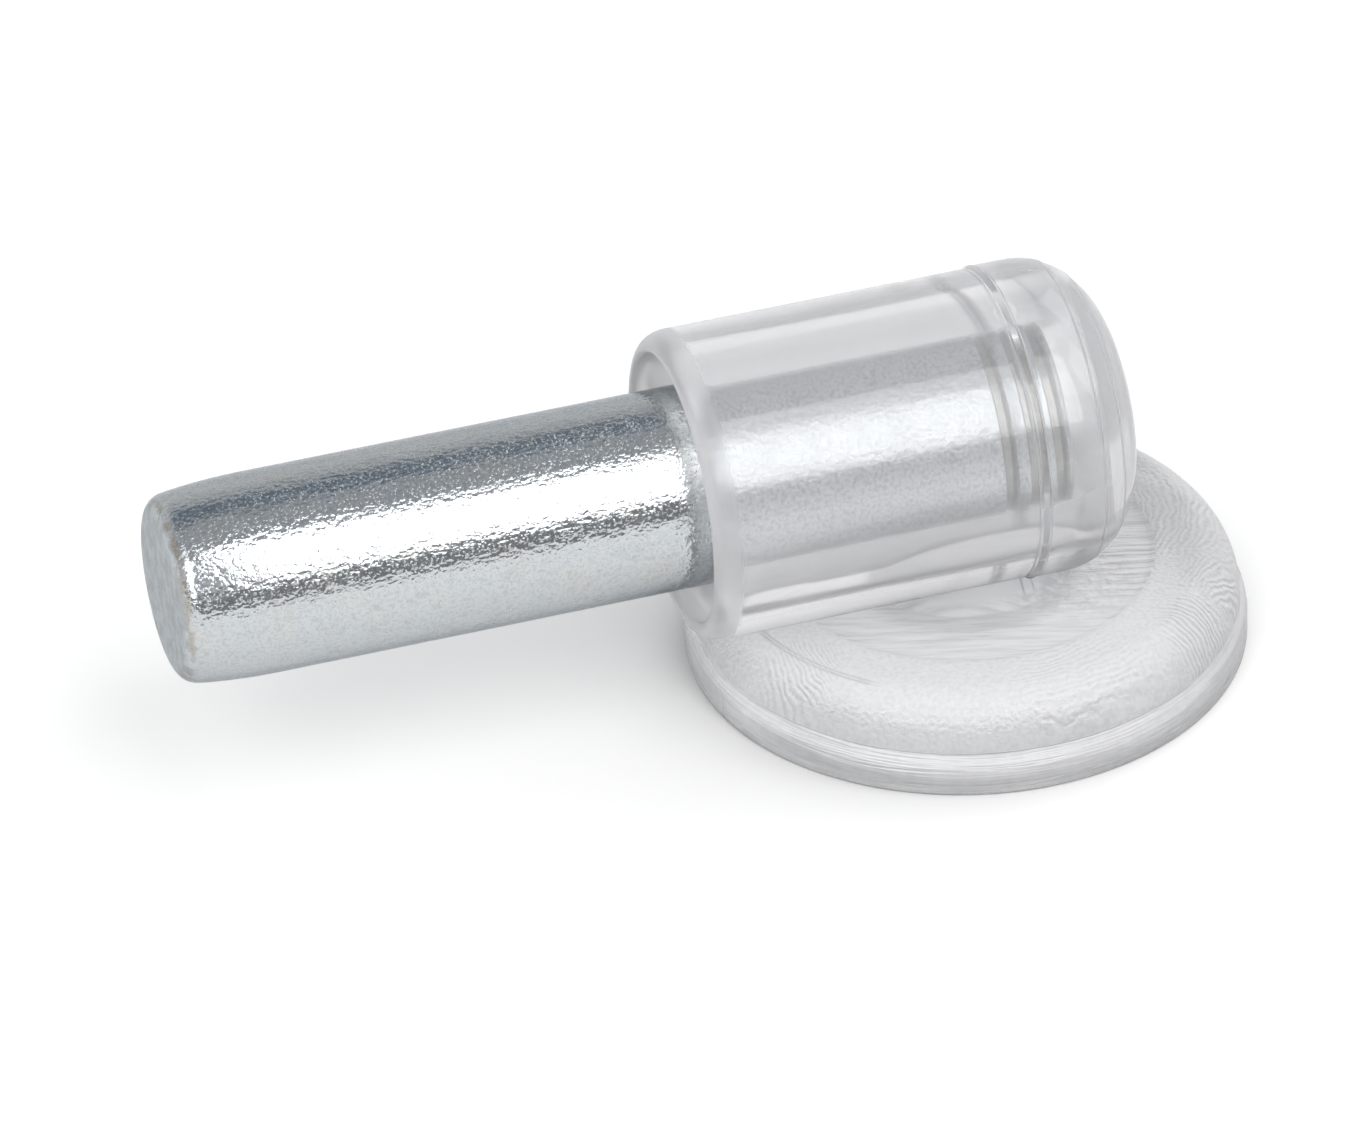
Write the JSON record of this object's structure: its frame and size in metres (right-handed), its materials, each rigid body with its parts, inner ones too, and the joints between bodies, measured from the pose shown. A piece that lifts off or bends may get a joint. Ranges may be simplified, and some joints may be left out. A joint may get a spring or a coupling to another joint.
{
  "type": "suction-cup shelf support pin",
  "caption": "Plated steel shelf pin with a ringed stem, pushed into a clear soft sleeve that closes round it and carries a suction cup to grip a glass shelf.",
  "frame": {"origin": "on the pin's axis, in the plane of the sleeve's mouth, which bears against the cabinet's side", "axes": "the pin lies along X with its free end towards -X; the suction cup faces down, along -Z"},
  "size_m": [0.0276, 0.0142, 0.0101],
  "materials": {
    "zinc_plate": "bright zinc plating with a fine orange-peel grain",
    "clear_plastic": "clear, slightly milky soft plastic, glossy with faint tool marks"
  },
  "bodies": {
    "root": {"steel_pin": "zinc_plate", "suction_sleeve": "clear_plastic"}
  },
  "joints": []
}
